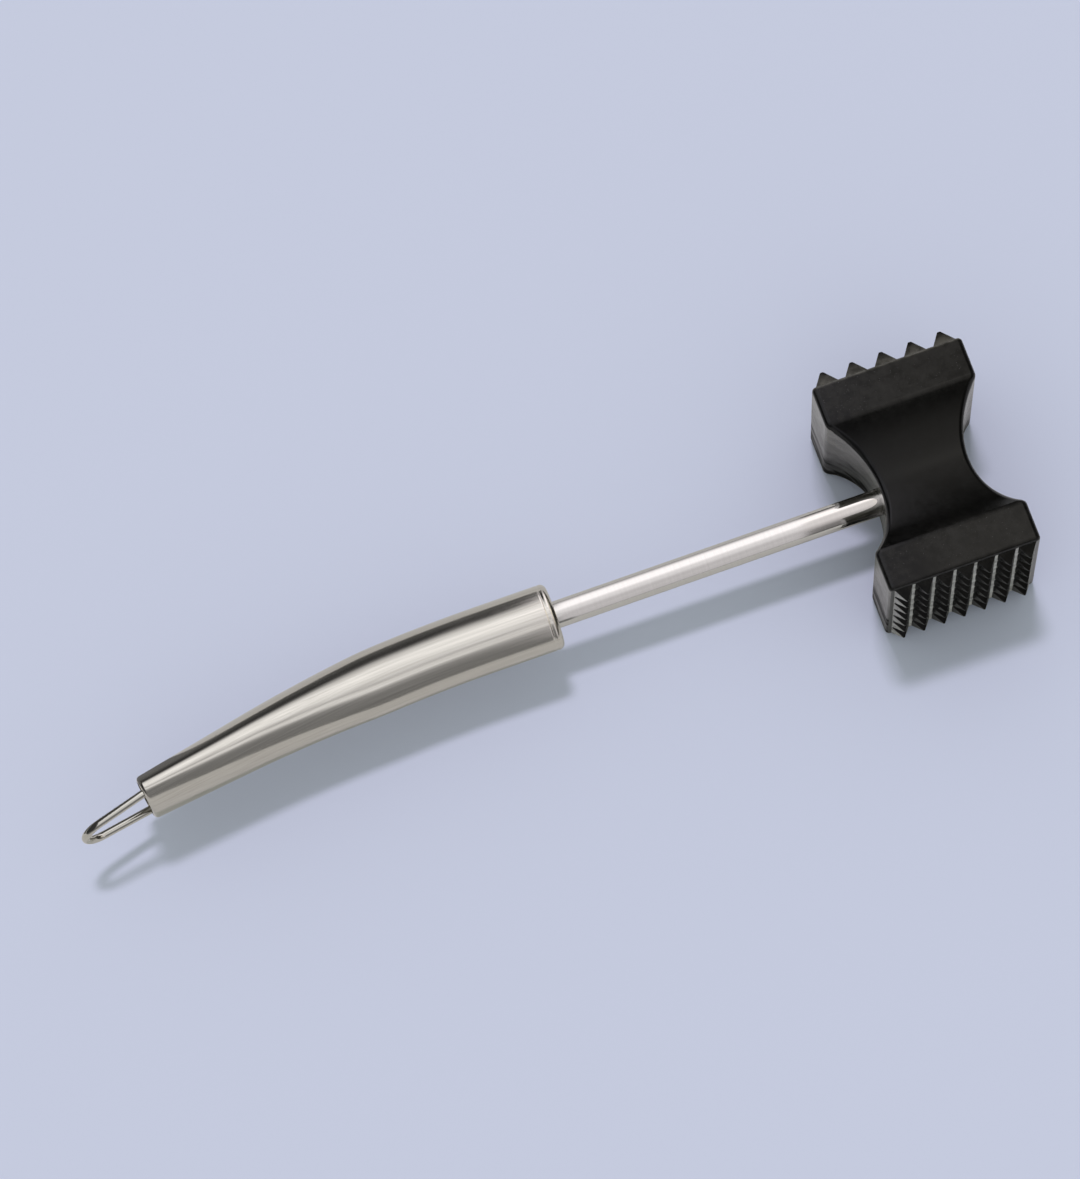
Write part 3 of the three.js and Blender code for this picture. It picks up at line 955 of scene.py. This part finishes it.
def makeTailCap():
    size = tailCapSize
    rear = handleSize["length"] - handleSize["wall"] - size["gap"]
    front = rear - size["thickness"]
    outside = handleSize["wall"] + size["gap"]
    corner = size["corner"]
    profile = [(front, outside)] + arcPoints(
        rear - corner, outside + corner, corner, -quarterTurn, 0, size["cornerSteps"]
    )
    piece = sweepRings("tailPlug", [handleRing(*place) for place in profile], size["sides"], False)
    drills = []
    _, angle = alongHandle(handleSize["length"])
    for side in (1, -1):
        middle = (rear + front) / 2 - handleSize["length"]
        deselectAll()
        bpy.ops.mesh.primitive_cylinder_add(
            vertices=size["holeSides"],
            radius=loopSize["wire"] / 2 + size["holeGap"],
            depth=3 * size["thickness"],
            location=beyondTail(middle, -loopSize["offset"], side * loopSize["spacing"] / 2),
            rotation=(0, quarterTurn, angle + math.radians(loopSize["lean"])),
        )
        drills.append(takePrimitive("drill"))
    cutAway(piece, drills)
    smoothShading(piece, size["sharpAngle"])
    dress(piece, "tail_cap", plainSteel)


makeTailCap()

# The bush inside the handle is out of sight and keeps its own mesh
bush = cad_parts["tang_bush"]
bush.data.materials.clear()
bush.data.materials.append(plainSteel)
print("bush dressed")


# Floor and light
studio = {
    "floor": "#c5cae0",
    "floorRadius": 6,
    "floorSides": 96,
    "floorDrop": 0.0001,  # keeps the floor just under the head
    "floorInGloss": "#cac9ce",  # gloss shows the same pale floor, only a little less blue
    "fill": "#fafff5",
    "fillStrength": 0.67,
    "sun": "#fcf5ff",
    "sunStrength": 1.24,
    "sunElevation": 70.7,
    "sunTurns": (-14, -1),  # two soft lamps side by side share the light
    "sunAngle": 6,
}


def makeFloor():
    material, tree = newMaterial("paleFloor")
    path = addNode(tree, "ShaderNodeLightPath")
    colour = addNode(
        tree, "ShaderNodeMix",
        {"data_type": "RGBA", 6: toLinear(studio["floor"]), 7: toLinear(studio["floorInGloss"])},
        {0: (path, "Is Glossy Ray")},
    )
    shader = addNode(
        tree, "ShaderNodeBsdfPrincipled",
        {"Roughness": 1.0, "Specular IOR Level": 0.0},
        {"Base Color": (colour, 2)},
    )
    finishMaterial(tree, shader)
    deselectAll()
    bpy.ops.mesh.primitive_circle_add(
        vertices=studio["floorSides"],
        radius=studio["floorRadius"],
        location=(0, 0, -studio["floorDrop"]),
        fill_type="NGON",
    )
    floor = takePrimitive("studioFloor")
    floor.data.materials.append(material)


def makeWorld():
    # Light of the fill for the object, and the floor's colour where the world itself is seen
    world = bpy.data.worlds.new("paleStudio")
    world.use_nodes = True
    tree = world.node_tree
    tree.nodes.clear()
    path = addNode(tree, "ShaderNodeLightPath")
    seen = addNode(
        tree, "ShaderNodeMath", {"operation": "MAXIMUM"},
        {0: (path, "Is Camera Ray"), 1: (path, "Is Glossy Ray")},
    )
    seenOrThrough = addNode(
        tree, "ShaderNodeMath", {"operation": "MAXIMUM"},
        {0: (seen, "Value"), 1: (path, "Is Transmission Ray")},
    )
    fill = addNode(
        tree, "ShaderNodeBackground",
        {"Color": toLinear(studio["fill"]), "Strength": studio["fillStrength"]},
    )
    backdrop = addNode(
        tree, "ShaderNodeBackground",
        {"Color": toLinear(studio["floor"]), "Strength": 1.0},
    )
    both = addNode(
        tree, "ShaderNodeMixShader",
        links={0: (seenOrThrough, "Value"), 1: (fill, "Background"), 2: (backdrop, "Background")},
    )
    addNode(tree, "ShaderNodeOutputWorld", links={"Surface": (both, "Shader")})
    bpy.context.scene.world = world


def makeSuns():
    tilt = math.radians(90 - studio["sunElevation"])
    for turn in studio["sunTurns"]:
        light = bpy.data.lights.new("sun", "SUN")
        light.energy = studio["sunStrength"] / len(studio["sunTurns"])
        light.angle = math.radians(studio["sunAngle"])
        light.color = toLinear(studio["sun"])[:3]
        sun = bpy.data.objects.new("sun", light)
        bpy.context.scene.collection.objects.link(sun)
        sun.rotation_euler = (-tilt, 0, math.radians(turn))
        sun.visible_glossy = False


# Tents that only the gloss of the object sees. Each is an arch along X over a stretch of the
# mallet, and its light is given by angle, counted from the horizon behind the coarse teeth, up
# and over to the horizon behind the fine teeth
tents = {
    "tailTent": {
        "from": -0.6,
        "to": -0.24,
        "colour": "#f8f9ff",
        "light": [(0, 0.05), (180, 0.05)],
    },
    "handleTent": {
        "from": -0.24,
        "to": 0.0213,
        "colour": "#f7f8ff",
        "light": [
            (0, 0.12), (18, 0.05), (30, 0.045), (38, 0.3), (48, 0.92), (66, 1.32), (80, 1.36),
            (92, 1.2), (104, 0.9), (109, 0.8), (112, 0.5), (114.5, 0.9), (118, 1.06), (127, 1.05),
            (133, 0.58), (140, 0.34), (150, 0.27), (180, 0.24),
        ],
    },
    "rodTent": {
        "from": 0.0213,
        "to": 0.11,
        "colour": "#f7f5ff",
        "light": [
            (0, 0.5), (12, 0.75), (25, 1.4), (40, 1.65), (70, 1.65), (78, 1.4), (88, 1.12),
            (104, 1.06), (112, 0.95), (120, 0.82), (130, 0.76), (150, 0.8), (180, 0.7),
        ],
    },
    "collarTent": {
        "from": 0.11,
        "to": 0.137,
        "colour": "#fbf7ff",
        "light": [
            (0, 0.1), (12, 0.4), (24, 1.2), (34, 1.65), (60, 1.65), (68, 1.2), (76, 0.98), (104, 1.0),
            (112, 0.9), (124, 0.72), (135, 0.52), (147, 0.3), (180, 0.2),
        ],
    },
    "headTent": {
        "from": 0.137,
        "to": 0.29,
        "colour": "#fffaf2",
        "light": [
            (0, 0.05), (14, 0.08), (25, 0.16), (43, 0.42), (60, 0.7), (70, 0.86), (76, 0.95),
            (84, 1.45), (92, 1.1), (104, 0.9), (112, 0.84), (124, 0.72), (135, 0.52), (147, 0.26),
            (158, 0.13), (180, 0.1),
        ],
    },
    "frontTent": {
        "from": 0.29,
        "to": 0.6,
        "colour": "#fffaf2",
        "light": [(0, 0.08), (180, 0.08)],
    },
}
tentShape = {"radius": 0.25, "sides": 120}


def finishLight(tree, light):
    addNode(tree, "ShaderNodeOutputMaterial", links={"Surface": (light, "Emission")})


def tentMaterial(name, tent):
    material, tree = newMaterial(name)
    place = addNode(tree, "ShaderNodeTexCoord")
    parts = addNode(tree, "ShaderNodeSeparateXYZ", links={"Vector": (place, "Object")})
    above = addNode(
        tree, "ShaderNodeMath",
        {"operation": "SUBTRACT", 1: axisZ},
        {0: (parts, "Z")},
    )
    angle = addNode(
        tree, "ShaderNodeMath",
        {"operation": "ARCTAN2"},
        {0: (above, "Value"), 1: (parts, "Y")},
    )
    share = addNode(
        tree, "ShaderNodeMath",
        {"operation": "DIVIDE", 1: halfTurn},
        {0: (angle, "Value")},
    )
    ramp = addNode(tree, "ShaderNodeValToRGB", links={"Fac": (share, "Value")})
    stops = ramp.color_ramp.elements
    while len(stops) < len(tent["light"]):
        stops.new(1)
    for stop, (degrees, strength) in zip(stops, tent["light"]):
        stop.position = degrees / 180
        stop.color = (strength, strength, strength, 1)
    light = addNode(
        tree, "ShaderNodeEmission",
        {"Color": toLinear(tent["colour"])},
        {"Strength": (ramp, "Color")},
    )
    finishLight(tree, light)
    return material


def cardMaterial(name, card):
    material, tree = newMaterial(name)
    light = addNode(
        tree, "ShaderNodeEmission",
        {"Color": toLinear(card["colour"]), "Strength": card["strength"]},
    )
    finishLight(tree, light)
    return material


def seenByGlossOnly(piece):
    piece.visible_camera = False
    piece.visible_diffuse = False
    piece.visible_transmission = False
    piece.visible_volume_scatter = False
    piece.visible_shadow = False


def makeTent(name, tent):
    deselectAll()
    bpy.ops.mesh.primitive_cylinder_add(
        vertices=tentShape["sides"],
        radius=tentShape["radius"],
        depth=tent["to"] - tent["from"],
        end_fill_type="NOTHING",
        location=((tent["to"] + tent["from"]) / 2, 0, axisZ),
        rotation=(0, quarterTurn, 0),
    )
    arch = takePrimitive(name)
    bpy.ops.object.mode_set(mode="EDIT")
    bpy.ops.mesh.select_all(action="SELECT")
    bpy.ops.mesh.bisect(plane_co=(0, 0, 0), plane_no=(0, 0, 1), clear_inner=True)
    bpy.ops.object.mode_set(mode="OBJECT")
    arch.data.materials.append(tentMaterial(name, tent))
    seenByGlossOnly(arch)


# Dark cards beyond both ends, which draw the rims that face them
endCards = {
    "places": (-0.45, 0.5), "radius": 0.25, "sides": 64,
    "colour": "#f1f6ff", "strength": 0.05,
}

# Dark card that stands on the floor in front of the handle and darkens the foot of its reflections
flag = {
    "from": -0.32, "to": 0.02, "y": -0.14, "height": 0.05,
    "colour": "#f8f9ff", "strength": 0.24,
}

# Dark card that lies just over the floor behind the tail, and draws the upper edge of the tail
# and of the wire
tailCard = {
    "from": -0.3, "to": -0.113, "near": 0.004, "far": 0.3, "height": 0.0005,
    "colour": "#f8f9ff", "strength": 0.17,
}


def makeEndCards():
    material = cardMaterial("endCards", endCards)
    for x in endCards["places"]:
        deselectAll()
        bpy.ops.mesh.primitive_circle_add(
            vertices=endCards["sides"],
            radius=endCards["radius"],
            fill_type="NGON",
            location=(x, 0, axisZ),
            rotation=(0, quarterTurn, 0),
        )
        card = takePrimitive("endCard")
        card.data.materials.append(material)
        seenByGlossOnly(card)


def makeCard(name, card, low, high):
    # Flat card between two opposite corners, upright where both have the same Y, else lying down
    size = high - low
    tilt = 0 if size.y else quarterTurn
    deselectAll()
    bpy.ops.mesh.primitive_plane_add(size=1, location=(low + high) / 2, rotation=(tilt, 0, 0))
    bpy.ops.transform.resize(value=[extent or 1 for extent in size])
    piece = takePrimitive(name)
    piece.data.materials.append(cardMaterial(name, card))
    seenByGlossOnly(piece)


def makeCards():
    makeCard(
        "flag", flag,
        Vector((flag["from"], flag["y"], 0)),
        Vector((flag["to"], flag["y"], flag["height"])),
    )
    makeCard(
        "tailCard", tailCard,
        Vector((tailCard["from"], axisY + tailCard["near"], tailCard["height"])),
        Vector((tailCard["to"], axisY + tailCard["far"], tailCard["height"])),
    )


makeFloor()
makeWorld()
makeSuns()
for name, tent in tents.items():
    makeTent(name, tent)
makeEndCards()
makeCards()
bpy.context.scene.view_settings.view_transform = "Standard"
print("floor and light set")
